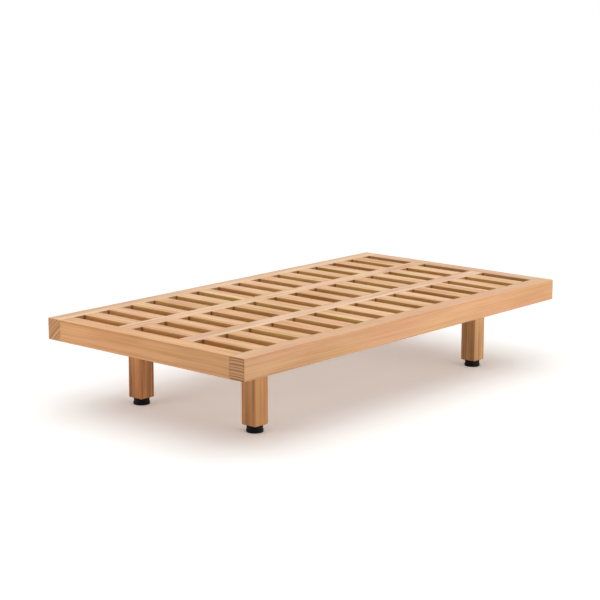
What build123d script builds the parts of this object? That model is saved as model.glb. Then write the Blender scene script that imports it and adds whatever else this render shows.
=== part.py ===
from build123d import *
import os

# A low slatted bed frame for a single mattress.
#
# Two side rails run the full length and two end rails butt between them on dowels.
# Two inner rails divide the deck into three bays. Fourteen slats cross under them
# in halving joints and are tenoned into the side rails, so all the tops are flush.
# Under the second slat from each end a bearer carries two square legs, each drawn
# up by a stud and a tee nut. Under each leg a plastic foot turns on an M10 screw.
#
# +X runs along the bed, +Y across it and +Z up. The origin is on the floor, under
# the middle of the deck. Sizes are millimetres.

# ---- Deck ----
deck_length = 1900
deck_width = 1000
rail_width = 68
rail_depth = 83
inner_rail_width = 68
slat_width = 68
slat_depth = 45
slat_count = 14
outer_arris = 3
deck_arris = 1

# ---- Joints in the wood ----
tenon_width = 48
tenon_thickness = 20
tenon_length = 20
mortise_room = 0.5
dowel_radius = 6
dowel_length = 80
dowel_spacing = 42
dowel_chamfer = 1.5
glue_line = 0.1

# ---- Bearers and legs ----
leg_slat_number = 2
bearer_width = 68
leg_width = 68
leg_length = 242
leg_inset = 173
leg_arris = 2
leg_toe = 3

# ---- Stud and tee nut on each leg ----
stud_radius = 5
stud_in_leg = 50
stud_below_slat = 4
tee_nut_radius = 6.6
tee_nut_length = 13
tee_flange_radius = 13
tee_flange = 1.6

# ---- Screws from the bearers up into the slats ----
screw_radius = 2.5
screw_bite = 9.5
screw_head_radius = 5
screw_recess_width = 3
screw_recess_depth = 2.5
screw_spread = 36
screw_from_side = 40

# ---- Levelling feet ----
pad_radius = 32
pad_height = 24
pad_rim = 10
pad_rounding = 3
collar_radius = 30
collar_rounding = 1
pad_floor = 6
foot_gap = 3
foot_screw_radius = 5
foot_screw_head_radius = 9
foot_screw_head = 6
foot_reach_out = 9
foot_reach_in = 2.25
thread_spare = 4
running_clearance = 0.08
insert_radius = 7.5
insert_length = 25
insert_flange_radius = 11
insert_flange = 1.6

# ---- Heights ----
leg_bottom = pad_height + foot_gap
deck_bottom = leg_bottom + leg_length
deck_top = deck_bottom + rail_depth
rail_z = deck_top - rail_depth / 2
slat_z = deck_top - slat_depth / 2
lap_depth = slat_depth / 2
bearer_depth = rail_depth - slat_depth
bearer_z = deck_bottom + bearer_depth / 2
bearer_top = deck_bottom + bearer_depth
stud_top = bearer_top - stud_below_slat
stud_bottom = deck_bottom - stud_in_leg
screw_top = deck_top - lap_depth + screw_bite

# ---- Places on plan ----
inside_length = deck_length - 2 * rail_width
inside_width = deck_width - 2 * rail_width
slat_pitch = (inside_length + slat_width) / (slat_count + 1)
slat_x = [k * slat_pitch - (inside_length + slat_width) / 2 for k in range(1, slat_count + 1)]
bay_width = (inside_width - 2 * inner_rail_width) / 3   # three equal bays
inner_y = (bay_width + inner_rail_width) / 2
leg_x = -slat_x[leg_slat_number - 1]
leg_y = deck_width / 2 - leg_inset - leg_width / 2
end_rail_x = (deck_length - rail_width) / 2
side_rail_y = (deck_width - rail_width) / 2
screw_y = inside_width / 2 - screw_from_side

corners = {
    "front_left": (-leg_x, -leg_y),
    "front_right": (leg_x, -leg_y),
    "back_left": (-leg_x, leg_y),
    "back_right": (leg_x, leg_y),
}
leg_places = list(corners.values())
screw_places = [
    (side * leg_x + step * screw_spread / 2, y)
    for side in (-1, 1)
    for step in (-1, 1)
    for y in (-screw_y, -inner_y, inner_y, screw_y)
]
dowel_heights = [rail_z - dowel_spacing / 2, rail_z + dowel_spacing / 2]
mortise_depth = tenon_length + mortise_room
dowel_hole_radius = dowel_radius + glue_line
dowel_hole_depth = dowel_length / 2 + mortise_room
pilot_radius = screw_radius + glue_line
pilot_length = screw_top + mortise_room - deck_bottom
foot_screw_in_leg = insert_length + foot_reach_out + thread_spare
foot_bore_depth = foot_screw_in_leg + foot_reach_in + thread_spare

os.makedirs("parts", exist_ok=True)


def save(piece, name):
    """Label a finished piece and write its STEP file."""
    piece.part.label = name
    export_step(piece.part, f"parts/{name}.step")


def columns(places, bottom, height, radius, mode=Mode.ADD):
    """Round upright columns in the open part, or holes with Mode.SUBTRACT."""
    with BuildSketch(Plane.XY.offset(bottom)) as circles:
        with Locations(*places):
            Circle(radius)
    extrude(circles.sketch, amount=height, mode=mode)


def lengthwise_bar(y, z, width, depth, length):
    """Add a plain bar along X, centred on X = 0, to the open part."""
    with BuildSketch(Plane.YZ) as section:
        with Locations((y, z)):
            Rectangle(width, depth)
    extrude(section.sketch, amount=length / 2, both=True)


def crosswise_bar(x, z, width, depth, length):
    """Add a plain bar along Y, centred on Y = 0, to the open part."""
    with BuildSketch(Plane.XZ) as section:
        with Locations((x, z)):
            Rectangle(width, depth)
    extrude(section.sketch, amount=length / 2, both=True)


def mortises(face, places):
    """Sink a pocket for a tenon at each place on a face plane that points into the wood."""
    with BuildSketch(face) as pockets:
        with Locations(*places):
            Rectangle(tenon_width, tenon_thickness)
    extrude(pockets.sketch, amount=mortise_depth, mode=Mode.SUBTRACT)


def dowel_holes(face, places):
    """Bore for corner dowels from a face plane that points into the wood."""
    with BuildSketch(face) as circles:
        with Locations(*places):
            Circle(dowel_hole_radius)
    extrude(circles.sketch, amount=dowel_hole_depth, mode=Mode.SUBTRACT)


def inner_top_edge(piece, along, across):
    """The upper long edge of a bar on the side that faces the middle of the deck."""
    return piece.edges().filter_by(along).group_by(across)[-1].sort_by(Axis.Z)[-1]


# ---- Side rails ----
with BuildPart() as front_rail:
    lengthwise_bar(-side_rail_y, rail_z, rail_width, rail_depth, deck_length)
    outer_edges = front_rail.faces().sort_by(Axis.Y)[0].edges()
    end_edges = front_rail.edges().filter_by(Axis.Y)
    fillet(outer_edges + end_edges, outer_arris)
    fillet(inner_top_edge(front_rail, Axis.X, Axis.Y), deck_arris)
    inner_face = Plane.XZ.offset(inside_width / 2)
    mortises(inner_face, [(x, slat_z) for x in slat_x])
    mortises(inner_face, [(-leg_x, bearer_z), (leg_x, bearer_z)])
    dowel_holes(inner_face, [(s * end_rail_x, z) for s in (-1, 1) for z in dowel_heights])
save(front_rail, "front_rail")

with BuildPart() as back_rail:
    mirror(front_rail.part, about=Plane.XZ)
save(back_rail, "back_rail")

# ---- End rails ----
with BuildPart() as left_end_rail:
    crosswise_bar(-end_rail_x, rail_z, rail_width, rail_depth, inside_width)
    fillet(left_end_rail.edges().filter_by(Axis.Y).group_by(Axis.X)[0], outer_arris)
    fillet(inner_top_edge(left_end_rail, Axis.Y, Axis.X), deck_arris)
    mortises(Plane.left.offset(inside_length / 2), [(-inner_y, slat_z), (inner_y, slat_z)])
    dowel_holes(Plane.back.offset(-inside_width / 2), [(end_rail_x, z) for z in dowel_heights])
    dowel_holes(Plane.front.offset(-inside_width / 2), [(-end_rail_x, z) for z in dowel_heights])
save(left_end_rail, "left_end_rail")

with BuildPart() as right_end_rail:
    mirror(left_end_rail.part, about=Plane.YZ)
save(right_end_rail, "right_end_rail")

# ---- Corner dowels ----
with BuildPart() as corner_dowels:
    with BuildSketch(Plane.XZ.offset(inside_width / 2 - dowel_length / 2)):
        with Locations(*[(s * end_rail_x, z) for s in (-1, 1) for z in dowel_heights]):
            Circle(dowel_radius)
    extrude(amount=dowel_length)
    chamfer(corner_dowels.edges().filter_by(GeomType.CIRCLE), dowel_chamfer)
    mirror(about=Plane.XZ)
save(corner_dowels, "corner_dowels")

# ---- Inner rails, notched underneath where the slats cross ----
with BuildPart() as inner_rail_front:
    lengthwise_bar(-inner_y, slat_z, inner_rail_width, slat_depth, inside_length)
    fillet(inner_rail_front.edges().filter_by(Axis.X), deck_arris)
    lengthwise_bar(-inner_y, slat_z, tenon_width, tenon_thickness, inside_length + 2 * tenon_length)
    with BuildSketch(Plane.XZ):
        with Locations(*[(x, deck_top - slat_depth) for x in slat_x]):
            Rectangle(slat_width, 2 * (slat_depth - lap_depth))
    extrude(amount=deck_width / 2, mode=Mode.SUBTRACT)
    pilots = [(x, y) for x, y in screw_places if y == -inner_y]
    columns(pilots, deck_bottom, pilot_length, pilot_radius, Mode.SUBTRACT)
save(inner_rail_front, "inner_rail_front")

with BuildPart() as inner_rail_back:
    mirror(inner_rail_front.part, about=Plane.XZ)
save(inner_rail_back, "inner_rail_back")

# ---- Slats, notched on top where the inner rails cross ----
for number, x in enumerate(slat_x, start=1):
    with BuildPart() as slat:
        crosswise_bar(x, slat_z, slat_width, slat_depth, inside_width)
        fillet(slat.edges().filter_by(Axis.Y), deck_arris)
        crosswise_bar(x, slat_z, tenon_width, tenon_thickness, inside_width + 2 * tenon_length)
        with BuildSketch(Plane.YZ.offset(x)):
            with Locations((-inner_y, deck_top), (inner_y, deck_top)):
                Rectangle(inner_rail_width, 2 * lap_depth)
        extrude(amount=slat_width / 2, both=True, mode=Mode.SUBTRACT)
        pilots = [place for place in screw_places if abs(place[0] - x) < slat_width / 2]
        if pilots:
            columns(pilots, deck_bottom, pilot_length, pilot_radius, Mode.SUBTRACT)
    save(slat, f"slat_{number:02d}")

# ---- Bearers under the slats that stand over the legs ----
for end, x in (("left", -leg_x), ("right", leg_x)):
    with BuildPart() as bearer:
        crosswise_bar(x, bearer_z, bearer_width, bearer_depth, inside_width)
        crosswise_bar(x, bearer_z, tenon_width, tenon_thickness, inside_width + 2 * tenon_length)
        leg_tops = [(x, -leg_y), (x, leg_y)]
        screws = [place for place in screw_places if abs(place[0] - x) < bearer_width / 2]
        columns(leg_tops, deck_bottom, bearer_depth, stud_radius + glue_line, Mode.SUBTRACT)
        columns(leg_tops, bearer_top - tee_flange - tee_nut_length, tee_nut_length,
                tee_nut_radius + glue_line, Mode.SUBTRACT)
        columns(leg_tops, bearer_top - tee_flange, tee_flange, tee_flange_radius + glue_line,
                Mode.SUBTRACT)
        with Locations(*[(sx, sy, deck_bottom) for sx, sy in screws]):
            with Locations(Rotation(180, 0, 0)):
                CounterSinkHole(pilot_radius, screw_head_radius + glue_line, bearer_depth, 90)
    save(bearer, f"bearer_{end}")

with BuildPart() as bearer_screws:
    with Locations(*[(x, y, deck_bottom) for x, y in screw_places]):
        Cone(screw_head_radius, screw_radius, screw_head_radius - screw_radius,
             align=(Align.CENTER, Align.CENTER, Align.MIN))
        Cylinder(screw_radius, screw_top - deck_bottom, align=(Align.CENTER, Align.CENTER, Align.MIN))
    with BuildSketch(Plane.XY.offset(deck_bottom)):
        with Locations(*screw_places):
            Rectangle(screw_recess_width, screw_recess_width)
    extrude(amount=screw_recess_depth, mode=Mode.SUBTRACT)
save(bearer_screws, "bearer_screws")

# ---- Tee nuts and the studs that draw the legs up ----
with BuildPart() as tee_nuts:
    columns(leg_places, bearer_top - tee_flange - tee_nut_length, tee_nut_length, tee_nut_radius)
    columns(leg_places, bearer_top - tee_flange, tee_flange, tee_flange_radius)
    columns(leg_places, deck_bottom, bearer_depth, stud_radius + glue_line, Mode.SUBTRACT)
save(tee_nuts, "tee_nuts")

with BuildPart() as leg_studs:
    columns(leg_places, stud_bottom, stud_top - stud_bottom, stud_radius)
    chamfer(leg_studs.edges().filter_by(GeomType.CIRCLE), dowel_chamfer)
save(leg_studs, "leg_studs")

# ---- Legs ----
for corner, (x, y) in corners.items():
    with BuildPart() as leg:
        with BuildSketch(Plane.XY.offset(leg_bottom)):
            with Locations((x, y)):
                RectangleRounded(leg_width, leg_width, leg_arris)
        extrude(amount=leg_length)
        for side in (Plane.XZ.offset(-y), Plane.YZ.offset(x)):
            across = x if side.x_dir.X else y
            with BuildSketch(side) as outline:
                with Locations((across, leg_bottom + leg_length / 2)):
                    Rectangle(leg_width, leg_length)
                chamfer(outline.vertices().group_by(Axis.Z)[0], leg_toe)
            extrude(amount=leg_width, both=True, mode=Mode.INTERSECT)
        columns([(x, y)], stud_bottom - mortise_room, stud_in_leg + mortise_room,
                stud_radius + glue_line, Mode.SUBTRACT)
        columns([(x, y)], leg_bottom, foot_bore_depth, foot_screw_radius + glue_line, Mode.SUBTRACT)
        columns([(x, y)], leg_bottom, insert_length, insert_radius + glue_line, Mode.SUBTRACT)
        columns([(x, y)], leg_bottom, insert_flange, insert_flange_radius + glue_line, Mode.SUBTRACT)
    save(leg, f"leg_{corner}")

# ---- Threaded inserts in the leg bottoms ----
with BuildPart() as foot_inserts:
    columns(leg_places, leg_bottom, insert_length, insert_radius)
    columns(leg_places, leg_bottom, insert_flange, insert_flange_radius)
    columns(leg_places, leg_bottom, insert_length, foot_screw_radius + running_clearance,
            Mode.SUBTRACT)
save(foot_inserts, "foot_inserts")

# ---- Levelling feet: a screw that rises in the insert and a pad that turns with it ----
for corner, (x, y) in corners.items():
    with BuildPart() as foot_screw:
        columns([(x, y)], pad_floor, leg_bottom + foot_screw_in_leg - pad_floor, foot_screw_radius)
        chamfer(foot_screw.edges().sort_by(Axis.Z)[-1], dowel_chamfer)
        columns([(x, y)], pad_floor, foot_screw_head, foot_screw_head_radius)
    save(foot_screw, f"foot_screw_{corner}")

    with BuildPart() as foot_pad:
        columns([(x, y)], 0, pad_rim, pad_radius)
        fillet(foot_pad.edges().sort_by(Axis.Z)[0], pad_rounding)
        columns([(x, y)], pad_rim, pad_height - pad_rim, collar_radius)
        fillet(foot_pad.edges().sort_by(Axis.Z)[-1], collar_rounding)
        columns([(x, y)], pad_floor, foot_screw_head + running_clearance,
                foot_screw_head_radius + running_clearance, Mode.SUBTRACT)
        columns([(x, y)], pad_floor, pad_height - pad_floor,
                foot_screw_radius + running_clearance, Mode.SUBTRACT)
    save(foot_pad, f"foot_pad_{corner}")
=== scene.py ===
# %% [markdown]
# # A slatted bed frame in pine
# This lesson dresses a solid model of a low bed frame for one mattress. On the real
# object two long side rails and two short end rails make a box, two inner rails
# divide it into three bays, and fourteen slats cross them. Four square legs stand
# on black levelling feet. The solid model gives each piece its place, in metres,
# with the floor at Z = 0, so nothing here is fitted by eye.

# %% Load the solid model
import math

import bpy
from mathutils import Matrix, Vector


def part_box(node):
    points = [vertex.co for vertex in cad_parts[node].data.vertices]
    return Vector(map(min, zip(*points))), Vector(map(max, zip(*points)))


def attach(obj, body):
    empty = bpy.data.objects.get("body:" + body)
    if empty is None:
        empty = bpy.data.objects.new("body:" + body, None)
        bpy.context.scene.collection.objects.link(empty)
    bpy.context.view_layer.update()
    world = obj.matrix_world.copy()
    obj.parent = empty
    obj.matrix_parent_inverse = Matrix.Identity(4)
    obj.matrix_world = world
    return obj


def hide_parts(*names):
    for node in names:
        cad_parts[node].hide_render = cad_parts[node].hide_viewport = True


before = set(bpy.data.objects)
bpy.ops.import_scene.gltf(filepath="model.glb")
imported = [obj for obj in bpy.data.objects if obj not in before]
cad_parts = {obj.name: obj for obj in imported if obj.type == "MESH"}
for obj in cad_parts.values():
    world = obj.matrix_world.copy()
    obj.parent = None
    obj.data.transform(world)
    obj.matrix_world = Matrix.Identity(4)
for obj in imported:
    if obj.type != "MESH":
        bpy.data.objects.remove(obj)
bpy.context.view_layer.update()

scene = bpy.context.scene
for leftover in ("Cube", "Light", "Camera"):
    if leftover in bpy.data.objects:
        bpy.data.objects.remove(bpy.data.objects[leftover])
MM = 0.001
CORNERS = ("front_left", "front_right", "back_left", "back_right")

# %% [markdown]
# ## Three helpers
# Blender works in linear light, while colours are usually written as sRGB hex, as on
# a paint card. One function turns one into the other. A material and a Geometry
# Nodes tree are both built from nodes, so one small function adds a node, sets it
# up and joins it to others. An input is named, or numbered where names repeat. The
# third helper opens an empty material.


# %% Colours and nodes
def paint(hex_code):
    """The linear colour of an sRGB hex code such as #c8a070."""
    channels = [int(hex_code[place:place + 2], 16) / 255 for place in (1, 3, 5)]
    linear = [c / 12.92 if c <= 0.04045 else ((c + 0.055) / 1.055) ** 2.4 for c in channels]
    return (*linear, 1.0)


def add_node(tree, kind, inputs=None, **settings):
    """Add a node with its settings. Each input gets a value, a link, or a list of links."""
    node = tree.nodes.new(kind)
    for name, value in settings.items():
        setattr(node, name, value)
    for key, value in (inputs or {}).items():
        by_number = isinstance(key, int)
        socket = node.inputs[key] if by_number else next(
            s for s in node.inputs if s.name == key and s.enabled)
        for source in value if isinstance(value, list) else [value]:
            if isinstance(source, bpy.types.Node):
                source = next(s for s in source.outputs if s.enabled)
            if isinstance(source, bpy.types.NodeSocket):
                tree.links.new(source, socket)
            else:
                socket.default_value = source
    return node


def new_material(name):
    """An empty node material, and its tree."""
    material = bpy.data.materials.new(name)
    material.use_nodes = True
    material.node_tree.nodes.clear()
    return material, material.node_tree


print("paint: #808080 is", round(paint("#808080")[0], 3), "in linear light")

# %% [markdown]
# ## Oiled pine, a log at a time
# The whole frame is pine that was planed, sanded and oiled. A plank is cut from a
# log, and a log is a stack of cones, one for each year, so the figure of real wood is
# solid: the rings that show as lines on an end run on as long streaks along the
# faces. A flat picture of grain can't do that. This material works out where each
# point lies in the log instead. Each piece gets a heart of its own, outside the
# plank, so no two look alike. Its place in the log comes first: turned so that the
# fibres run along X, measured from the heart, and bent a little, as no log is straight.

# %% Where a point lies in the log
GRAIN_TURN = {"X": (0, 0, 0), "Y": (0, 0, math.pi / 2), "Z": (0, -math.pi / 2, 0)}
GRAIN_AXIS = {"X": (1, 0, 0), "Y": (0, 1, 0), "Z": (0, 0, 1)}
HEART_WANDER = 22 * MM        # how far the heart strays from side to side
BEND_LENGTH, BEND_WIDTH = 770 * MM, 250 * MM


def place_in_log(tree, grain, heart, plank_shift):
    """Each point's place along and around the heart of the log, straight and bent."""
    place = add_node(tree, "ShaderNodeTexCoord").outputs["Object"]
    if plank_shift:
        shift = add_node(tree, "ShaderNodeAttribute", attribute_name=plank_shift)
        place = add_node(tree, "ShaderNodeVectorMath", {0: place, 1: shift.outputs["Vector"]})
    straight = add_node(tree, "ShaderNodeMapping", {
        "Vector": place, "Location": heart, "Rotation": GRAIN_TURN[grain]},
        vector_type="TEXTURE")
    lengthwise = add_node(tree, "ShaderNodeVectorMath", {
        0: straight, 1: (1 / BEND_LENGTH, 1 / BEND_WIDTH, 1 / BEND_WIDTH)},
        operation="MULTIPLY")
    stray = add_node(tree, "ShaderNodeTexNoise", {
        "Vector": lengthwise, "Scale": 1.0, "Detail": 1.0})
    bend = add_node(tree, "ShaderNodeVectorMath", {
        0: stray.outputs["Color"], 1: (0.0, HEART_WANDER, HEART_WANDER)},
        operation="MULTIPLY")
    return straight, add_node(tree, "ShaderNodeVectorMath", {0: straight, 1: bend})


print("pine: the heart strays by", HEART_WANDER, "m")

# %% [markdown]
# ## Year rings
# In spring a pine grows fast, and that wood is pale. It deepens slowly to the dark
# line of late summer, and ends sharply there. So a ring isn't a sine wave but a slow
# ramp with a steep end, and it is the distance from the heart, counted in rings, that
# drives it. Two things keep the rings from looking ruled: some are wider than others,
# and in a poor year the dark line is weak.


# %% How dark the year ring is at a point
SPELLS = 0.45            # a spell of wide or narrow rings comes about every second ring
SPELL_SHIFT = 1.6        # how many rings such a spell moves the next ones by, at most
WEAKEST_LINE = 0.4       # the dark line of the poorest year, as a share of the best
SPRING_ENDS, SUMMER, LINE_FULL, LINE_ENDS = 0.25, 0.55, 0.8, 0.98    # shares of a ring


def year_rings(tree, log, ring_gap):
    """0 in pale spring wood, up to 1 in the dark line of a strong year."""
    across = add_node(tree, "ShaderNodeVectorMath", {0: log, 1: (0.0, 1.0, 1.0)},
                      operation="MULTIPLY")
    radius = add_node(tree, "ShaderNodeVectorMath", {0: across}, operation="LENGTH")
    evenly = add_node(tree, "ShaderNodeMath", {0: radius, 1: ring_gap}, operation="DIVIDE")
    uneven = add_node(tree, "ShaderNodeTexNoise", {"W": evenly, "Scale": SPELLS, "Detail": 0.0},
                      noise_dimensions="1D")
    years = add_node(tree, "ShaderNodeMath", {0: uneven, 1: SPELL_SHIFT, 2: evenly},
                     operation="MULTIPLY_ADD")
    season = add_node(tree, "ShaderNodeMath", {0: years}, operation="FRACT")
    latewood = add_node(tree, "ShaderNodeValToRGB", {"Fac": season})
    stops = latewood.color_ramp.elements
    stops[0].position, stops[0].color = SPRING_ENDS, (0, 0, 0, 1)
    stops[1].position, stops[1].color = LINE_FULL, (1, 1, 1, 1)
    stops.new(SUMMER).color = (0.35, 0.35, 0.35, 1)
    stops.new(LINE_ENDS).color = (0.05, 0.05, 0.05, 1)
    year = add_node(tree, "ShaderNodeMath", {0: years}, operation="FLOOR")
    growth = add_node(tree, "ShaderNodeTexWhiteNoise", {"W": year}, noise_dimensions="1D")
    strength = add_node(tree, "ShaderNodeMath", {
        0: growth, 1: 1 - WEAKEST_LINE, 2: WEAKEST_LINE}, operation="MULTIPLY_ADD")
    return add_node(tree, "ShaderNodeMath", {0: latewood, 1: strength}, operation="MULTIPLY")


print("year rings: the dark line takes", round(LINE_ENDS - SUMMER, 2), "of a ring")

# %% [markdown]
# ## Fibres and clouds
# Along the grain a planed face shows streaks, some 50 cm long, where bundles of
# fibres took up more or less oil, with finer lines a fifth as wide over them. Single
# fibres are 0.03 mm wide, too fine to show at any distance, so streaks 6 to 24 mm
# wide stand in for them. Under all of it lie slow clouds of colour, 40 cm long and
# 10 cm wide. All of these are noise, stretched along the log by the sizes given.

# %% Streaks of fibres
BUNDLE_LENGTH, STRAND_LENGTH = 500 * MM, 110 * MM
CLOUD_LENGTH, CLOUD_WIDTH = 385 * MM, 100 * MM


def stretched_noise(tree, log, length, width):
    """Soft noise in patches of this length along the grain and width across it."""
    stretch = add_node(tree, "ShaderNodeVectorMath", {
        0: log, 1: (1 / length, 1 / width, 1 / width)}, operation="MULTIPLY")
    return add_node(tree, "ShaderNodeTexNoise", {
        "Vector": stretch, "Scale": 1.0, "Detail": 2.0})


print("pine: streaks", BUNDLE_LENGTH, "m long, with finer ones of", STRAND_LENGTH, "m")

# %% [markdown]
# ## Ends, and painted shade on the sides
# An end is cut across the fibres, so it drinks more oil than a face, goes browner,
# and shows each ring as a bar. The sides of the pieces inside the deck, which are the
# walls of the slots, get a darker, yellower colour multiplied in: painted shade for
# the dim, warm light deep in the slots. Both colours are mixed in by the way that a
# face points, so that one material suits the whole of a piece.


# %% Ends, and painted shade on the sides
END_WOOD, END_BAR = "#d6a879", "#a5662f"      # spring wood and late wood, cut across
SIDE_SHADE_TINT, NO_SIDE_SHADE = "#fffad2", "#ffffff"     # painted shade multiplied into the sides, and none


def end_grain(tree, grain, ring, face):
    """The colour of the face, or of the ends, which drink the oil and go browner."""
    outward = add_node(tree, "ShaderNodeNewGeometry").outputs["Normal"]
    along = add_node(tree, "ShaderNodeVectorMath", {0: outward, 1: GRAIN_AXIS[grain]},
                     operation="DOT_PRODUCT").outputs["Value"]
    facing = add_node(tree, "ShaderNodeMath", {0: along}, operation="ABSOLUTE")
    # 0 on a face along the grain, 1 on an end, and a rounded edge lies between
    cut_across = add_node(tree, "ShaderNodeMapRange", {
        "Value": facing, "From Min": 0.45, "From Max": 0.85})
    # an end shows each ring as a plain bar, so the slow ramp is made short
    bars = add_node(tree, "ShaderNodeMapRange", {
        "Value": ring, "From Min": 0.02, "From Max": 0.35}, interpolation_type="SMOOTHSTEP")
    ends = add_node(tree, "ShaderNodeMix", {
        "Factor": bars, "A": paint(END_WOOD), "B": paint(END_BAR)}, data_type="RGBA")
    return add_node(tree, "ShaderNodeMix", {"Factor": cut_across, "A": face, "B": ends},
                    data_type="RGBA")


def painted_side_shade(tree, face, tint):
    """The colour of a top, or of sides with a darker, yellower painted shade multiplied in."""
    outward = add_node(tree, "ShaderNodeNewGeometry").outputs["Normal"]
    upward = add_node(tree, "ShaderNodeVectorMath", {0: outward, 1: (0, 0, 1)},
                      operation="DOT_PRODUCT").outputs["Value"]
    # 0 on the top, 1 on the sides and below, and an eased edge lies between
    sideways = add_node(tree, "ShaderNodeMapRange", {
        "Value": upward, "From Min": 0.5, "From Max": 0.9, "To Min": 1.0, "To Max": 0.0})
    return add_node(tree, "ShaderNodeMix", {"Factor": sideways, "A": face, "B": paint(tint)},
                    data_type="RGBA", blend_type="MULTIPLY")


# prints what the painted side shade does to white
print("older oil turns white to", [round(part, 2) for part in paint(SIDE_SHADE_TINT)[:3]])

# %% [markdown]
# ## The colour of the wood
# The colour goes from pale to deep wood by all four patterns together: streaks,
# rings, strands and clouds, each with a weight. It also wanders in hue, because
# sapwood is yellower and heartwood rosier. Where two pieces meet at an inner corner,
# a dark brown is painted in as shade, so the wood is darker there.


# %% Pale and deep wood, and painted shade in corners
NOISE_LOW, NOISE_HIGH = 0.3, 0.7              # most of a noise lies between these
STREAK_WEIGHT, RING_WEIGHT, STRAND_WEIGHT = 1.7, 0.35, 0.65
PALE_CLOUD, DEEP_CLOUD = -1.16, -0.62         # these bring the sum back to 0 to 1
ROSIER, YELLOWER = 0.494, 0.51                # 0.5 leaves the hue as it is
CORNER_SHADE_REACH = 12 * MM                        # how far the painted shade reaches from a corner
# the dark brown painted into inner corners as shade
CORNER_SHADE_COLOUR = "#6a2f08"


def wood_colour(tree, streaks, ring, strands, clouds, pale, deep):
    """The colour of clean wood, from one sRGB hex code for pale to one for deep wood."""
    share = add_node(tree, "ShaderNodeMapRange", {
        "Value": clouds, "From Min": NOISE_LOW, "From Max": NOISE_HIGH,
        "To Min": PALE_CLOUD, "To Max": DEEP_CLOUD})
    for pattern, weight in ((streaks, STREAK_WEIGHT), (ring, RING_WEIGHT),
                            (strands, STRAND_WEIGHT)):
        share = add_node(tree, "ShaderNodeMath", {0: pattern, 1: weight, 2: share},
                         operation="MULTIPLY_ADD", use_clamp=pattern is strands)
    plain = add_node(tree, "ShaderNodeMix", {
        "Factor": share, "A": paint(pale), "B": paint(deep)}, data_type="RGBA")
    # a narrower range than above, so that both hues are reached more often
    rosiness = add_node(tree, "ShaderNodeMapRange", {
        "Value": clouds.outputs["Color"], "From Min": 0.35, "From Max": 0.65,
        "To Min": ROSIER, "To Max": YELLOWER})
    return add_node(tree, "ShaderNodeHueSaturation", {"Hue": rosiness, "Color": plain})


def painted_corner_shade(tree, clean):
    """The colour of the wood, or a darker colour where shade is painted into an inner corner."""
    openness = add_node(tree, "ShaderNodeAmbientOcclusion", {"Distance": CORNER_SHADE_REACH},
                        samples=4).outputs["AO"]
    # an open face has an openness of 1, and a corner of two walls a half
    # the more enclosed the corner, the more painted shade
    corner_shade_share = add_node(tree, "ShaderNodeMapRange", {
        "Value": openness, "From Min": 0.5, "From Max": 0.88, "To Min": 1.0, "To Max": 0.0})
    return add_node(tree, "ShaderNodeMix", {
        "Factor": corner_shade_share, "A": clean, "B": paint(CORNER_SHADE_COLOUR)}, data_type="RGBA")


# prints how far the painted corner shade reaches
print("corners stay oily for", CORNER_SHADE_REACH, "m")

# %% [markdown]
# ## The finished pine
# All parts of the material now come together. Oil leaves a satin surface, so the
# roughness is about a half, a little less on the hard streaks that sanding polishes.
# Late wood is harder too and stands a little proud, which a bump shows. Every board
# calls this function with its own log, ring width, streaks and colours.


# %% Pine that was planed, sanded and oiled
RELIEF_DEPTH = 0.15 * MM                      # deeper than life, or it wouldn't show
RING_RELIEF = 0.6                             # late wood, beside a relief of 1 for strands
POLISHED, OPEN_GRAINED = 0.44, 0.6            # roughness of hard and soft streaks


def oiled_pine(name, grain, heart, ring_gap, streak, pale, deep, plank_shift=None,
               side_shade_tint=NO_SIDE_SHADE):
    """Oiled pine, satin, from pale to deep wood, both sRGB hex.

    grain is the axis the fibres follow, heart a point on the middle line of the log,
    ring_gap the width of a year ring and streak that of a bundle of fibres, in metres.
    plank_shift names an attribute that moves the pattern from plank to plank.
    side_shade_tint is the painted shade multiplied into the sides, sRGB hex; white leaves them as
    they are.
    """
    material, tree = new_material(name)
    straight, log = place_in_log(tree, grain, heart, plank_shift)
    ring = year_rings(tree, log, ring_gap)
    streaks = stretched_noise(tree, log, BUNDLE_LENGTH, streak)
    strands = stretched_noise(tree, log, STRAND_LENGTH, streak / 5)
    clouds = stretched_noise(tree, straight, CLOUD_LENGTH, CLOUD_WIDTH)

    unshaded_wood = wood_colour(tree, streaks, ring, strands, clouds, pale, deep)
    # the sides get painted shade, as deep in the slots
    clean = painted_side_shade(tree, unshaded_wood, side_shade_tint)
    # painted shade goes into the inner corners before the ends are coloured
    colour = end_grain(tree, grain, ring, painted_corner_shade(tree, clean))
    relief = add_node(tree, "ShaderNodeMath", {0: ring, 1: RING_RELIEF, 2: strands},
                      operation="MULTIPLY_ADD")
    bump = add_node(tree, "ShaderNodeBump", {
        "Strength": 0.35, "Distance": RELIEF_DEPTH, "Height": relief})
    satin = add_node(tree, "ShaderNodeMapRange", {
        "Value": streaks, "To Min": POLISHED, "To Max": OPEN_GRAINED})
    wood = add_node(tree, "ShaderNodeBsdfPrincipled", {
        "Base Color": colour, "Roughness": satin, "Normal": bump, "IOR": 1.5})
    add_node(tree, "ShaderNodeOutputMaterial", {"Surface": wood})
    return material


print("oiled pine: roughness", POLISHED, "to", OPEN_GRAINED)

# %% [markdown]
# ## Nylon, steel and beech
# The feet are injection-moulded nylon: nearly black, with the faint mottle of a
# spark-eroded mould, so highlights on it are broad and dull. The screws, nuts and
# inserts are zinc-plated steel: a grey metal with a thin, slightly cloudy coat. The
# dowels are beech, a close pinkish wood whose fibres catch the light as short flecks.


# %% Black nylon, zinc-plated steel and beech
WEAR = 0.08             # how far the roughness strays from its middle


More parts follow.
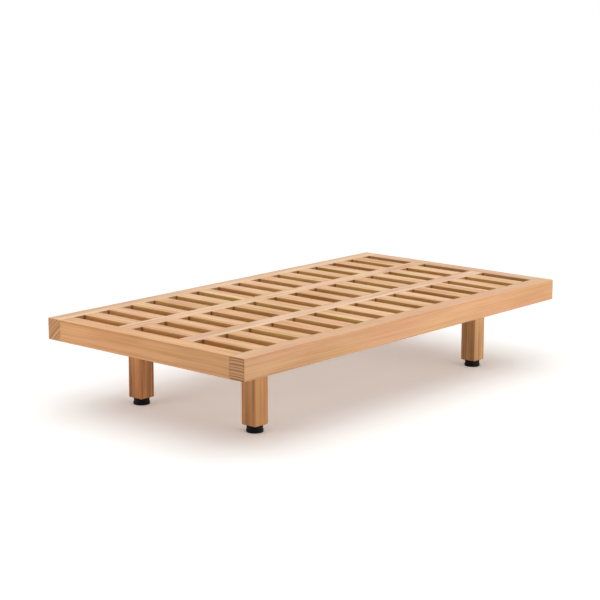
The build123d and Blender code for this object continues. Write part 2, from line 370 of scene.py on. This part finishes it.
def mottled(name, dark, light, grain_size, roughness, relief, metallic=0.0, shine=0.5):
    """An even material with a fine mottle between two sRGB colours and a slight relief.

    shine is how much it mirrors, 0.5 for a clean surface and less for a dusty one.
    """
    material, tree = new_material(name)
    place = add_node(tree, "ShaderNodeTexCoord").outputs["Object"]
    mottle = add_node(tree, "ShaderNodeTexNoise", {"Vector": place, "Scale": 1 / grain_size,
                                                   "Detail": 4.0})
    colour = add_node(tree, "ShaderNodeMix", {"Factor": mottle, "A": paint(dark),
                                              "B": paint(light)}, data_type="RGBA")
    wear = add_node(tree, "ShaderNodeMapRange", {
        "Value": mottle, "From Min": NOISE_LOW, "From Max": NOISE_HIGH,
        "To Min": roughness - WEAR, "To Max": roughness + WEAR})
    bump = add_node(tree, "ShaderNodeBump", {"Strength": 0.4, "Distance": relief,
                                             "Height": mottle})
    body = add_node(tree, "ShaderNodeBsdfPrincipled", {
        "Base Color": colour, "Metallic": metallic, "Roughness": wear, "Normal": bump,
        "Specular IOR Level": shine})
    add_node(tree, "ShaderNodeOutputMaterial", {"Surface": body})
    return material


nylon = mottled("moulded_black_nylon", "#080706", "#12100e", 0.8 * MM, 0.6, 0.04 * MM, shine=0.12)
zinc = mottled("zinc_plated_steel", "#8e9093", "#c3c5c6", 3 * MM, 0.36, 0.01 * MM, 1.0)
beech = oiled_pine("beech_dowel", "Y", (0.05, 0.0, 0.1), 1.5 * MM, 3 * MM, "#dcb595", "#b98a66")
print("finishes:", nylon.name, zinc.name, beech.name)

# %% [markdown]
# ## Dressing the rails, bearers and legs
# The solid rails, bearers and legs already have the right shape, with their rounded
# edges, so each keeps its mesh and only gets a material of its own. Where the heart
# lies decides the figure. With the heart far below a rail, its rings cross the end
# as level lines and its sides are straight-grained. With the heart in front of a
# face, that face shows the broad waves of wood cut along the log.

# %% A log for each solid piece
# piece: grain, heart from its middle, ring and streak width (mm), pale and deep wood
boards = {
    "front_rail": ("X", (0, 20, -420), 11, 6, "#e6b58a", "#cd966a"),
    "back_rail": ("X", (0, -190, -200), 8, 20, "#f6cda8", "#c98f60"),
    "left_end_rail": ("Y", (-130, 0, 30), 9, 9, "#efb683", "#c8864f"),
    "right_end_rail": ("Y", (110, 0, -50), 8, 22, "#f2caa6", "#c98f60"),
    "inner_rail_front": ("X", (0, 60, -210), 8, 22, "#fbd4b1", "#d09870"),
    "inner_rail_back": ("X", (0, -80, -180), 7, 22, "#f6cca4", "#c98b5c"),
    "bearer_left": ("Y", (90, 0, -100), 7, 20, "#f4c898", "#c4834b"),
    "bearer_right": ("Y", (-90, 0, -120), 7, 20, "#f4c898", "#c4834b"),
    "leg_front_left": ("Z", (-40, 150, 0), 9, 12, "#e2a56b", "#874519"),
    "leg_front_right": ("Z", (160, 60, 0), 8, 12, "#e6b486", "#9c5c2e"),
    "leg_back_left": ("Z", (70, -130, 0), 8, 12, "#e6a465", "#8c4a1c"),
    "leg_back_right": ("Z", (-150, -50, 0), 8, 12, "#f4c898", "#c4834b"),
}
# these pieces form walls of the slots, so their sides get painted shade
side_shaded_pieces = ("inner_rail_front", "inner_rail_back", "right_end_rail")
for node, (grain, heart, ring_width, streak, pale, deep) in boards.items():
    low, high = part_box(node)
    centre = (low + high) / 2 + Vector(heart) * MM
    pine = oiled_pine("pine_" + node, grain, centre, ring_width * MM, streak * MM, pale, deep,
                      side_shade_tint=SIDE_SHADE_TINT if node in side_shaded_pieces else NO_SIDE_SHADE)
    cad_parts[node].data.materials[0] = pine
for node, finish in (("corner_dowels", beech), ("tee_nuts", zinc), ("leg_studs", zinc),
                     ("foot_inserts", zinc)):
    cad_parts[node].data.materials[0] = finish
print("boards dressed:", len(boards))

# %% [markdown]
# ## Growing shapes from a tree
# What repeats is made once and laid out by rule. A Geometry Nodes tree does that:
# it takes sizes by name and returns a mesh. `new_tree` opens a tree with its named
# inputs. `grow` hangs the tree on an empty object, sets its inputs by their
# identifiers, keeps the mesh that comes out, and takes the modifier off again.


# %% Trees and the meshes they grow
def new_tree(name, inputs):
    """A Geometry Nodes tree with these named inputs, and the sockets they arrive at."""
    tree = bpy.data.node_groups.new(name, "GeometryNodeTree")
    tree.interface.new_socket("Geometry", in_out="OUTPUT", socket_type="NodeSocketGeometry")
    for label, kind in inputs.items():
        tree.interface.new_socket(label, in_out="INPUT", socket_type="NodeSocket" + kind)
    print(name, "takes", len(inputs), "inputs")
    return tree, add_node(tree, "NodeGroupInput").outputs


def grow(name, tree, sizes, material, start=None):
    """The mesh that a tree makes of these sizes, as an object at the origin."""
    piece = bpy.data.objects.new(name, start or bpy.data.meshes.new(name))
    scene.collection.objects.link(piece)
    modifier = piece.modifiers.new(tree.name, "NODES")
    modifier.node_group = tree
    for item in tree.interface.items_tree:
        if item.name in sizes:
            modifier[item.identifier] = sizes[item.name]
        elif item.name == "Material":
            modifier[item.identifier] = material
    graph = bpy.context.evaluated_depsgraph_get()
    mesh = bpy.data.meshes.new_from_object(
        piece.evaluated_get(graph), preserve_all_data_layers=True, depsgraph=graph)
    piece.modifiers.clear()
    piece.data = mesh
    mesh.name = name
    mesh.materials.clear()
    mesh.materials.append(material)
    for face in mesh.polygons:
        face.material_index = 0
    print(name, len(mesh.polygons), "faces")
    return piece


# %% [markdown]
# ## The slats
# Each slat is one bar with eased edges, a tenon on both ends, and two laps cut half
# through its top where the inner rails cross. All fourteen are alike and evenly
# spaced, so the tree shapes one bar and repeats it along a line. It also gives every
# slat a random shift, which the pine reads, so each seems cut from its own log.

# %% A bar with a tenon on both ends
slat_row, given = new_tree("slat_row", {
    "Count": "Int", "Pitch": "Float", "Height": "Float", "Width": "Float", "Depth": "Float",
    "Length": "Float", "Eased Edge": "Float", "Tenons": "Vector", "Lap": "Vector",
    "Crossing": "Float", "Seed": "Int", "Material": "Material"})

outline = add_node(slat_row, "GeometryNodeCurvePrimitiveQuadrilateral", {
    "Width": given["Width"], "Height": given["Depth"]})
section = add_node(slat_row, "GeometryNodeFilletCurve", {
    "Curve": outline, "Radius": given["Eased Edge"], "Count": 3}, mode="POLY")
half_length = add_node(slat_row, "ShaderNodeMath", {0: given["Length"], 1: 0.5},
                       operation="MULTIPLY")
far_end = add_node(slat_row, "ShaderNodeCombineXYZ", {"Y": half_length})
near_end = add_node(slat_row, "ShaderNodeVectorMath", {0: far_end, "Scale": -1.0},
                    operation="SCALE")
middle_line = add_node(slat_row, "GeometryNodeSetCurveNormal", {
    "Curve": add_node(slat_row, "GeometryNodeCurvePrimitiveLine", {
        "Start": near_end, "End": far_end})}, mode="Z_UP")
bar = add_node(slat_row, "GeometryNodeCurveToMesh", {
    "Curve": middle_line, "Profile Curve": section, "Fill Caps": True})
tenons = add_node(slat_row, "GeometryNodeMeshCube", {"Size": given["Tenons"]})
tenoned = add_node(slat_row, "GeometryNodeMeshBoolean", {1: [bar, tenons]}, operation="UNION")
print("slat_row: a bar with tenons,", len(slat_row.nodes), "nodes")

# %% The laps where the inner rails cross
half_depth = add_node(slat_row, "ShaderNodeMath", {0: given["Depth"], 1: 0.5},
                      operation="MULTIPLY")
to_crossing = add_node(slat_row, "ShaderNodeCombineXYZ", {
    "Y": given["Crossing"], "Z": half_depth})
to_other_crossing = add_node(slat_row, "ShaderNodeVectorMath", {
    0: to_crossing, 1: (1.0, -1.0, 1.0)}, operation="MULTIPLY")
block = add_node(slat_row, "GeometryNodeMeshCube", {"Size": given["Lap"]})
cuts = [add_node(slat_row, "GeometryNodeTransform", {"Geometry": block, "Translation": spot})
        for spot in (to_crossing, to_other_crossing)]
slat = add_node(slat_row, "GeometryNodeMeshBoolean", {0: tenoned, 1: cuts},
                operation="DIFFERENCE")
print("slat_row: with laps,", len(slat_row.nodes), "nodes")

# %% The row, with a shift for each slat
HEART_ASIDE = 160 * MM                          # each slat's middle lies up to this far aside
HEART_NEAR, HEART_FAR = 70 * MM, 340 * MM       # and this far above the heart of the log
ALONG_LOG = 40.0                                # metres, so that no two slats look alike
gaps = add_node(slat_row, "ShaderNodeMath", {0: given["Count"], 1: 1.0},
                operation="SUBTRACT")
row_length = add_node(slat_row, "ShaderNodeMath", {0: gaps, 1: given["Pitch"]},
                      operation="MULTIPLY")
first_slat = add_node(slat_row, "ShaderNodeMath", {0: row_length, 1: -0.5},
                      operation="MULTIPLY")
row_start = add_node(slat_row, "ShaderNodeCombineXYZ", {
    "X": first_slat, "Z": given["Height"]})
row = add_node(slat_row, "GeometryNodeMeshLine", {
    "Count": given["Count"], "Start Location": row_start,
    "Offset": add_node(slat_row, "ShaderNodeCombineXYZ", {"X": given["Pitch"]})})
slats = add_node(slat_row, "GeometryNodeInstanceOnPoints", {"Points": row, "Instance": slat})
chance = add_node(slat_row, "FunctionNodeRandomValue", {
    "Min": (-HEART_ASIDE, 0.0, HEART_NEAR), "Max": (HEART_ASIDE, ALONG_LOG, HEART_FAR),
    "Seed": given["Seed"]}, data_type="FLOAT_VECTOR")
from_slat = add_node(slat_row, "ShaderNodeVectorMath", {
    0: chance, 1: add_node(slat_row, "GeometryNodeInputPosition")}, operation="SUBTRACT")
marked = add_node(slat_row, "GeometryNodeStoreNamedAttribute", {
    "Geometry": slats, "Name": "plank", "Value": from_slat},
    data_type="FLOAT_VECTOR", domain="INSTANCE")
real = add_node(slat_row, "GeometryNodeRealizeInstances", {"Geometry": marked})
finished = add_node(slat_row, "GeometryNodeSetMaterial", {
    "Geometry": real, "Material": given["Material"]})
add_node(slat_row, "NodeGroupOutput", {"Geometry": finished})
print("slat_row: complete,", len(slat_row.nodes), "nodes")

# %% Grow the slats
SLAT_COUNT = 14
EASED_EDGE = 1 * MM
TENON_WIDTH, TENON_THICKNESS = 48 * MM, 20 * MM
LAP_SPARE = 10 * MM                       # the lap's cutter is wider than the slat
slat_nodes = [f"slat_{number:02d}" for number in range(1, SLAT_COUNT + 1)]
slat_low, slat_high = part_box(slat_nodes[0])
next_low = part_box(slat_nodes[1])[0]
inner_low, inner_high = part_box("inner_rail_back")
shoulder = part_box("back_rail")[0].y       # the inside face of the side rail
slat_size = slat_high - slat_low
# the slats' sides are the walls of the slots and get painted shade
slat_pine = oiled_pine("pine_slats", "Y", (0, 0, 0), 8 * MM, 24 * MM, "#f5c795", "#c68249",
                       "plank", SIDE_SHADE_TINT)
slat_deck = grow("deck_slats", slat_row, {
    "Count": SLAT_COUNT, "Pitch": next_low.x - slat_low.x,
    "Height": (slat_low.z + slat_high.z) / 2, "Width": slat_size.x, "Depth": slat_size.z,
    "Length": 2 * shoulder, "Eased Edge": EASED_EDGE,
    "Tenons": (TENON_WIDTH, slat_size.y, TENON_THICKNESS),
    "Lap": (slat_size.x + LAP_SPARE, inner_high.y - inner_low.y, slat_size.z),
    "Crossing": (inner_low.y + inner_high.y) / 2, "Seed": 4}, slat_pine)
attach(slat_deck, "frame")
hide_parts(*slat_nodes)

# %% [markdown]
# ## Screw threads
# A thread is one ridge that winds up a rod. It could be a coil laid on a cylinder,
# but that leaves one mesh stuck in another. Here a flat grid is rolled up into the
# rod, and each point's distance from the axis comes from its place in the turn, so
# ridge and rod are one closed skin. The thread fades out over one turn at each end.

# %% A sheet as wide as one turn and as tall as the rod
threaded_rod, given = new_tree("threaded_rod", {
    "Length": "Float", "Radius": "Float", "Pitch": "Float", "Thread Depth": "Float",
    "Segments": "Int", "Rows per Turn": "Int"})
turns = add_node(threaded_rod, "ShaderNodeMath", {0: given["Length"], 1: given["Pitch"]},
                 operation="DIVIDE")
columns = add_node(threaded_rod, "ShaderNodeMath", {0: given["Segments"], 1: 1.0})
rows = add_node(threaded_rod, "ShaderNodeMath", {0: turns, 1: given["Rows per Turn"]},
                operation="MULTIPLY")
sheet = add_node(threaded_rod, "GeometryNodeMeshGrid", {
    "Size X": 1.0, "Size Y": 1.0, "Vertices X": columns, "Vertices Y": rows})
from_corner = add_node(threaded_rod, "ShaderNodeVectorMath", {
    0: add_node(threaded_rod, "GeometryNodeInputPosition"), 1: (0.5, 0.5, 0.0)})
on_sheet = add_node(threaded_rod, "ShaderNodeSeparateXYZ", {"Vector": from_corner})
around, up = on_sheet.outputs["X"], on_sheet.outputs["Y"]
print("threaded_rod: the flat sheet,", len(threaded_rod.nodes), "nodes")

# %% The thread on the sheet
wound = add_node(threaded_rod, "ShaderNodeMath", {0: up, 1: turns}, operation="MULTIPLY")
in_turn = add_node(threaded_rod, "ShaderNodeMath", {0: wound, 1: around},
                   operation="SUBTRACT")
half_groove = add_node(threaded_rod, "ShaderNodeMath", {0: in_turn, 1: 0.5},
                       operation="PINGPONG")
groove = add_node(threaded_rod, "ShaderNodeMath", {0: half_groove, 1: 2.0},
                  operation="MULTIPLY")
cut = add_node(threaded_rod, "ShaderNodeMath", {0: groove, 1: given["Thread Depth"]},
               operation="MULTIPLY")
crest = add_node(threaded_rod, "ShaderNodeMath", {0: given["Radius"], 1: cut},
                 operation="SUBTRACT")
core = add_node(threaded_rod, "ShaderNodeMath", {
    0: given["Radius"], 1: given["Thread Depth"]}, operation="SUBTRACT")
near_end = add_node(threaded_rod, "ShaderNodeMath", {0: up, 1: 0.5}, operation="PINGPONG")
from_end = add_node(threaded_rod, "ShaderNodeMath", {0: near_end, 1: turns},
                    operation="MULTIPLY")
run_out = add_node(threaded_rod, "ShaderNodeMath", {0: from_end, 1: 1.0},
                   operation="MINIMUM")
from_axis = add_node(threaded_rod, "ShaderNodeMix", {"Factor": run_out, "A": core, "B": crest},
                     data_type="FLOAT")
print("threaded_rod: the thread,", len(threaded_rod.nodes), "nodes")

# %% Roll the sheet up and close its ends
SEAM = 0.001 * MM                     # points nearer than this become one
height = add_node(threaded_rod, "ShaderNodeMath", {0: up, 1: given["Length"]},
                  operation="MULTIPLY")
spoke = add_node(threaded_rod, "ShaderNodeCombineXYZ", {"X": from_axis, "Z": height})
angle = add_node(threaded_rod, "ShaderNodeMath", {0: around, 1: 2 * math.pi},
                 operation="MULTIPLY")
rolled = add_node(threaded_rod, "ShaderNodeVectorRotate", {"Vector": spoke, "Angle": angle},
                  rotation_type="Z_AXIS")
tube = add_node(threaded_rod, "GeometryNodeSetPosition", {
    "Geometry": sheet, "Position": rolled})
disc = add_node(threaded_rod, "GeometryNodeMeshCircle", {
    "Vertices": given["Segments"], "Radius": core}, fill_type="NGON")
base = add_node(threaded_rod, "GeometryNodeFlipFaces", {"Mesh": disc})
far_end = add_node(threaded_rod, "ShaderNodeCombineXYZ", {"Z": given["Length"]})
tip = add_node(threaded_rod, "GeometryNodeTransform", {
    "Geometry": disc, "Translation": far_end})
shell = add_node(threaded_rod, "GeometryNodeJoinGeometry", {0: [tube, base, tip]})
rod = add_node(threaded_rod, "GeometryNodeMergeByDistance", {
    "Geometry": shell, "Distance": SEAM})
add_node(threaded_rod, "NodeGroupOutput", {"Geometry": rod})
print("threaded_rod: complete,", len(threaded_rod.nodes), "nodes")

# %% [markdown]
# ## Turned parts
# Feet and screw heads are turned or moulded round: one outline swept about an axis.
# The tree takes the outline as a chain of points, rounds each corner by the radius
# stored with it, and sweeps it around a circle so small that it is only an axis.
# Points on the axis then fall together and are merged.

# %% A tree for a turned part
AXIS_RADIUS = 0.001 * MM
turned_part, given = new_tree("turned_part", {"Outline": "Geometry", "Segments": "Int"})
corner_radius = add_node(turned_part, "GeometryNodeInputNamedAttribute", {
    "Name": "rounding"}, data_type="FLOAT")
rounded = add_node(turned_part, "GeometryNodeFilletCurve", {
    "Curve": add_node(turned_part, "GeometryNodeMeshToCurve", {"Mesh": given["Outline"]}),
    "Radius": corner_radius, "Limit Radius": True, "Count": 5}, mode="POLY")
axis = add_node(turned_part, "GeometryNodeSetCurveNormal", {
    "Curve": add_node(turned_part, "GeometryNodeCurvePrimitiveCircle", {
        "Resolution": given["Segments"], "Radius": AXIS_RADIUS})}, mode="Z_UP")
swept = add_node(turned_part, "GeometryNodeCurveToMesh", {
    "Curve": axis, "Profile Curve": rounded})
sealed = add_node(turned_part, "GeometryNodeMergeByDistance", {
    "Geometry": swept, "Distance": 5 * AXIS_RADIUS})
add_node(turned_part, "NodeGroupOutput", {"Geometry": sealed})
print("turned_part:", len(turned_part.nodes), "nodes")

# %% [markdown]
# ## From an outline to a finished part
# A turned part is described by the points of its outline, in millimetres, and stands
# where the solid part stands. The trees of pads and screws all end alike: round faces
# are shaded smooth, edges with a clear fold stay crisp, copies are made real and the
# finish is set. Three helpers write down the outline, close a tree and find the place.


# %% Outlines, tree ends and places
CLEAR_FOLD = math.radians(32)         # between two faces; round parts fold by far less


def outline_of(name, points):
    """A chain of (radius, height, corner rounding) in millimetres, for the turning tree."""
    mesh = bpy.data.meshes.new(name)
    # the sweep turns an outline over, so heights are written downwards
    mesh.from_pydata([(radius * MM, -height * MM, 0) for radius, height, rounding in points],
                     [(k, k + 1) for k in range(len(points) - 1)], [])
    stored = mesh.attributes.new("rounding", "FLOAT", "POINT")
    for k, (radius, height, rounding) in enumerate(points):
        stored.data[k].value = rounding * MM
    return mesh


def close_tree(tree, shape, material):
    """Smooth round faces but keep corners crisp, make every copy real, set the material."""
    smooth = add_node(tree, "GeometryNodeSetShadeSmooth", {"Geometry": shape})
    fold = add_node(tree, "GeometryNodeInputMeshEdgeAngle").outputs["Unsigned Angle"]
    corner = add_node(tree, "FunctionNodeCompare", {"A": fold, "B": CLEAR_FOLD},
                      operation="GREATER_THAN")
    crisp = add_node(tree, "GeometryNodeSetShadeSmooth", {
        "Geometry": smooth, "Selection": corner, "Shade Smooth": False}, domain="EDGE")
    real = add_node(tree, "GeometryNodeRealizeInstances", {"Geometry": crisp})
    finished = add_node(tree, "GeometryNodeSetMaterial", {
        "Geometry": real, "Material": material})
    add_node(tree, "NodeGroupOutput", {"Geometry": finished})


def axis_of(node):
    """The point where the upright axis of a round solid node meets its underside."""
    low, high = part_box(node)
    return (low.x + high.x) / 2, (low.y + high.y) / 2, low.z


print("first foot:", [round(part, 4) for part in axis_of("foot_pad_" + CORNERS[0])])

# %% [markdown]
# ## The levelling feet
# Each foot is a moulded nylon pad with a wide rim on the floor and a narrower collar
# above it. The collar holds the head of an M10 screw that winds in and out of the
# leg. Pads turn and screws rise at each corner on their own, so the tree is run
# once for each, and every result is a piece of its own.

# %% Grow the four pads
# From the middle of the sole out to the rim, up to the collar, and down the hole to
# the seat of the screw's head, which has 0.08 mm of room to turn.
PAD_OUTLINE = [
    (0, 0.5, 0), (25, 0.5, 0.3), (26, 0, 0.3), (32, 0, 3), (32, 10, 1), (30, 10, 0.8),
    (30, 24, 1), (5.08, 24, 0.3), (5.08, 12.08, 0), (9.08, 12.08, 0), (9.08, 6, 0), (0, 6, 0)]
foot_pad, given = new_tree("foot_pad", {
    "Outline": "Geometry", "Segments": "Int", "Place": "Vector", "Material": "Material"})
turned = add_node(foot_pad, "GeometryNodeGroup", {
    "Outline": given["Outline"], "Segments": given["Segments"]}, node_tree=turned_part)
close_tree(foot_pad, add_node(foot_pad, "GeometryNodeTransform", {
    "Geometry": turned, "Translation": given["Place"]}), given["Material"])
for corner in CORNERS:
    node = "foot_pad_" + corner
    pad = grow("nylon_pad_" + corner, foot_pad, {"Segments": 96, "Place": axis_of(node)},
               nylon, outline_of(node, PAD_OUTLINE))
    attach(pad, "pad_" + corner)
    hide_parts(node)

# %% [markdown]
# ## The foot screws
# A foot screw is a round head with a threaded shank on it. The head is turned and the
# shank is a threaded rod, so both trees are used again here as nodes of a third, and
# the shank starts a little way down in the head. The size is M10: 10 mm over the
# thread, which climbs 1.5 mm a turn.

# %% Grow the four foot screws
HEAD_OUTLINE = [(0, 0, 0), (9, 0, 0.5), (9, 6, 0.5), (0, 6, 0)]
HEAD_HEIGHT = 6 * MM
INTO_HEAD = 0.5 * MM
foot_screw, given = new_tree("foot_screw", {
    "Outline": "Geometry", "Segments": "Int", "Place": "Vector", "Shank": "Vector",
    "Length": "Float", "Radius": "Float", "Pitch": "Float", "Thread Depth": "Float",
    "Rows per Turn": "Int", "Material": "Material"})
head = add_node(foot_screw, "GeometryNodeGroup", {
    "Outline": given["Outline"], "Segments": given["Segments"]}, node_tree=turned_part)
shank = add_node(foot_screw, "GeometryNodeGroup", {
    label: given[label] for label in (
        "Length", "Radius", "Pitch", "Thread Depth", "Segments", "Rows per Turn")},
    node_tree=threaded_rod)
raised = add_node(foot_screw, "GeometryNodeTransform", {
    "Geometry": shank, "Translation": given["Shank"]})
whole = add_node(foot_screw, "GeometryNodeJoinGeometry", {0: [head, raised]})
close_tree(foot_screw, add_node(foot_screw, "GeometryNodeTransform", {
    "Geometry": whole, "Translation": given["Place"]}), given["Material"])
for corner in CORNERS:
    node = "foot_screw_" + corner
    low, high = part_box(node)
    screw = grow("steel_screw_" + corner, foot_screw, {
        "Segments": 32, "Place": axis_of(node), "Shank": (0, 0, HEAD_HEIGHT - INTO_HEAD),
        "Length": high.z - low.z - HEAD_HEIGHT + INTO_HEAD, "Radius": 5 * MM,
        "Pitch": 1.5 * MM, "Thread Depth": 0.9 * MM, "Rows per Turn": 6},
        zinc, outline_of(node, HEAD_OUTLINE))
    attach(screw, "screw_" + corner)
    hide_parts(node)

# %% [markdown]
# ## The screws under the bearers
# Sixteen countersunk screws hold the bearers up to the slats and inner rails, and
# only their heads show, flush with the wood. Their places are points, worked out
# from the bearers, and the tree stands a copy of one screw on each point. A square
# driver recess is cut into the head before the copies are made. They are wood screws
# of 5 mm, whose coarse thread climbs 2.5 mm a turn.

# %% A tree for countersunk screws
HEAD_OVERLAP = 0.9      # the shank starts just inside the head, as a share of its depth
bearer_screw, given = new_tree("bearer_screws", {
    "Points": "Geometry", "Head Radius": "Float", "Radius": "Float", "Head Depth": "Float",
    "Recess": "Vector", "Length": "Float", "Pitch": "Float", "Thread Depth": "Float",
    "Segments": "Int", "Rows per Turn": "Int", "Material": "Material"})
cone = add_node(bearer_screw, "GeometryNodeMeshCone", {
    "Vertices": given["Segments"], "Radius Bottom": given["Head Radius"],
    "Radius Top": given["Radius"], "Depth": given["Head Depth"]})
socket = add_node(bearer_screw, "GeometryNodeMeshCube", {"Size": given["Recess"]})
head = add_node(bearer_screw, "GeometryNodeMeshBoolean", {0: cone, 1: socket},
                operation="DIFFERENCE")
shank = add_node(bearer_screw, "GeometryNodeGroup", {
    label: given[label] for label in (
        "Length", "Radius", "Pitch", "Thread Depth", "Segments", "Rows per Turn")},
    node_tree=threaded_rod)
into_head = add_node(bearer_screw, "ShaderNodeMath", {
    0: given["Head Depth"], 1: HEAD_OVERLAP}, operation="MULTIPLY")
above = add_node(bearer_screw, "GeometryNodeTransform", {
    "Geometry": shank,
    "Translation": add_node(bearer_screw, "ShaderNodeCombineXYZ", {"Z": into_head})})
one_screw = add_node(bearer_screw, "GeometryNodeJoinGeometry", {0: [head, above]})
close_tree(bearer_screw, add_node(bearer_screw, "GeometryNodeInstanceOnPoints", {
    "Points": given["Points"], "Instance": one_screw}), given["Material"])
print("bearer_screws:", len(bearer_screw.nodes), "nodes")

# %% Grow the bearer screws
SCREW_SPREAD = 18 * MM       # from the bearer's middle line
SCREW_FROM_SIDE = 40 * MM    # from the side rail's inside face
HEAD_DEPTH = 2.5 * MM
screw_low, screw_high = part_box("bearer_screws")
inner_middle = (inner_low.y + inner_high.y) / 2
places = [
    (axis_of(bearer)[0] + side * SCREW_SPREAD, row_side * y, screw_low.z)
    for bearer in ("bearer_left", "bearer_right") for side in (-1, 1)
    for row_side in (-1, 1) for y in (inner_middle, shoulder - SCREW_FROM_SIDE)]
points = bpy.data.meshes.new("screw_places")
points.from_pydata(places, [], [])
screws = grow("steel_bearer_screws", bearer_screw, {
    "Head Radius": 5 * MM, "Radius": 2.5 * MM, "Head Depth": HEAD_DEPTH,
    "Recess": (3 * MM, 3 * MM, 4 * MM),
    "Length": screw_high.z - screw_low.z - HEAD_OVERLAP * HEAD_DEPTH, "Pitch": 2.5 * MM,
    "Thread Depth": 0.8 * MM, "Segments": 24, "Rows per Turn": 6}, zinc, points)
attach(screws, "frame")
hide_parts("bearer_screws")

# %% [markdown]
# ## The camera
# A frame this wide and low is best seen from a little above one corner. The camera
# stands nearly seven metres away with a long lens, so the far end doesn't shrink
# much and the parallel rails stay nearly parallel.

# %% Camera
camera = bpy.data.objects.new("camera", bpy.data.cameras.new("camera"))
scene.collection.objects.link(camera)
camera.data.sensor_width = 36         # millimetres, as is the lens
camera.data.lens = 103.65
camera.data.clip_end = 1000           # metres, past the edge of the floor
CAMERA_SPOT = (-5.0991, -4.3569, 1.7093)
heading, tilt, roll = math.radians(41.006), math.radians(-11.528), math.radians(0.137)
camera.matrix_world = (
    Matrix.Translation(CAMERA_SPOT)
    @ Matrix.Rotation(heading - math.pi / 2, 4, "Z")
    @ Matrix.Rotation(math.pi / 2 + tilt, 4, "X")
    @ Matrix.Rotation(roll, 4, "Z"))
scene.camera = camera
print("camera:", round(Vector(CAMERA_SPOT).length, 2), "m from the middle of the floor")

# %% [markdown]
# ## Light from above
# Furniture is often lit in a white tent: one wide soft light overhead, and no light
# from the back. A sun lamp with a disc of 90 degrees gives that light evenly over the
# whole frame. It reaches the tops fully and the walls of the slots a little, and its
# shadows have edges as soft as the gap that casts them is high. The air itself gives
# no light. It only looks white, to the camera and in anything glossy or clear.


# %% White air and the overhead light
def seen_directly(tree):
    """1 for what the camera sees, also in a gloss or through glass, and 0 for soft light."""
    ray = add_node(tree, "ShaderNodeLightPath").outputs
    seen = add_node(tree, "ShaderNodeMath", {
        0: ray["Is Camera Ray"], 1: ray["Is Glossy Ray"]}, operation="MAXIMUM")
    return add_node(tree, "ShaderNodeMath", {0: seen, 1: ray["Is Transmission Ray"]},
                    operation="MAXIMUM")


scene.view_settings.view_transform = "Standard"
scene.world = bpy.data.worlds.new("studio")
scene.world.use_nodes = True
air = scene.world.node_tree
air.nodes.clear()
white = add_node(air, "ShaderNodeBackground", {
    "Color": (1, 1, 1, 1), "Strength": seen_directly(air)})
add_node(air, "ShaderNodeOutputWorld", {"Surface": white})

overhead = bpy.data.objects.new("overhead", bpy.data.lights.new("overhead", "SUN"))
scene.collection.objects.link(overhead)
overhead.data.energy = 2.6
overhead.data.angle = math.radians(90)
print("overhead light:", overhead.data.energy, "W per square metre")

# %% [markdown]
# ## Two low panels
# Light from above leaves the sides and legs dark, so two upright panels stand near
# the floor, one before the long side and one off the left end. They are slightly
# warm, as light is that came off a wooden floor. Low panels light the outer faces of
# the legs and hardly reach the inner ones, which is what makes a square leg read as
# square.

# %% Low panels
WARM_WHITE = (1.0, 0.94, 0.83)


def low_panel(name, centre, width, height, watts):
    """An upright soft panel that faces the middle of the frame and isn't seen itself."""
    lamp = bpy.data.objects.new(name, bpy.data.lights.new(name, "AREA"))
    scene.collection.objects.link(lamp)
    lamp.data.shape = "RECTANGLE"
    lamp.data.size, lamp.data.size_y = width, height
    lamp.data.energy = watts
    lamp.data.color = WARM_WHITE
    lamp.visible_camera = False
    towards_frame = math.atan2(-centre[1], -centre[0])
    lamp.matrix_world = (Matrix.Translation(centre)
                         @ Matrix.Rotation(towards_frame - math.pi / 2, 4, "Z")
                         @ Matrix.Rotation(math.pi / 2, 4, "X"))
    print(name, watts, "W")


low_panel("panel_by_long_side", (0.6, -2.7, 0.3), width=3.0, height=0.6, watts=40)
low_panel("panel_by_left_end", (-3.2, 1.2, 0.4), width=1.6, height=0.8, watts=28)

# %% [markdown]
# ## The floor
# The floor is one pale sheet that reaches the horizon. To the eye it is nearly white
# with a faint glow, so it stays white far out and keeps a soft, warm shadow. Bounced
# light sees another floor: a plain brown one, as a real wooden floor would be. It
# sends a little warm light up under the frame, and no more.

# %% Floor
FLOOR_REACH = 300                     # metres each way
GLOW = 0.26                           # lifts the lit floor to white, but not its shadow
corners = [(FLOOR_REACH * x, FLOOR_REACH * y, 0) for x, y in ((-1, -1), (1, -1), (1, 1), (-1, 1))]
floor_mesh = bpy.data.meshes.new("floor")
floor_mesh.from_pydata(corners, [], [range(4)])
floor = bpy.data.objects.new("floor", floor_mesh)
scene.collection.objects.link(floor)
studio_floor, tree = new_material("studio_floor")
paper = add_node(tree, "ShaderNodeBsdfDiffuse", {"Color": paint("#f6fbfd")})
glow = add_node(tree, "ShaderNodeEmission", {"Color": paint("#ffede3"), "Strength": GLOW})
to_the_eye = add_node(tree, "ShaderNodeAddShader", {0: paper, 1: glow})
to_bounced_light = add_node(tree, "ShaderNodeBsdfDiffuse", {"Color": paint("#977b60")})
add_node(tree, "ShaderNodeOutputMaterial", {
    "Surface": add_node(tree, "ShaderNodeMixShader", {
        0: seen_directly(tree), 1: to_bounced_light, 2: to_the_eye})})
floor_mesh.materials.append(studio_floor)
print("floor:", 2 * FLOOR_REACH, "m across")
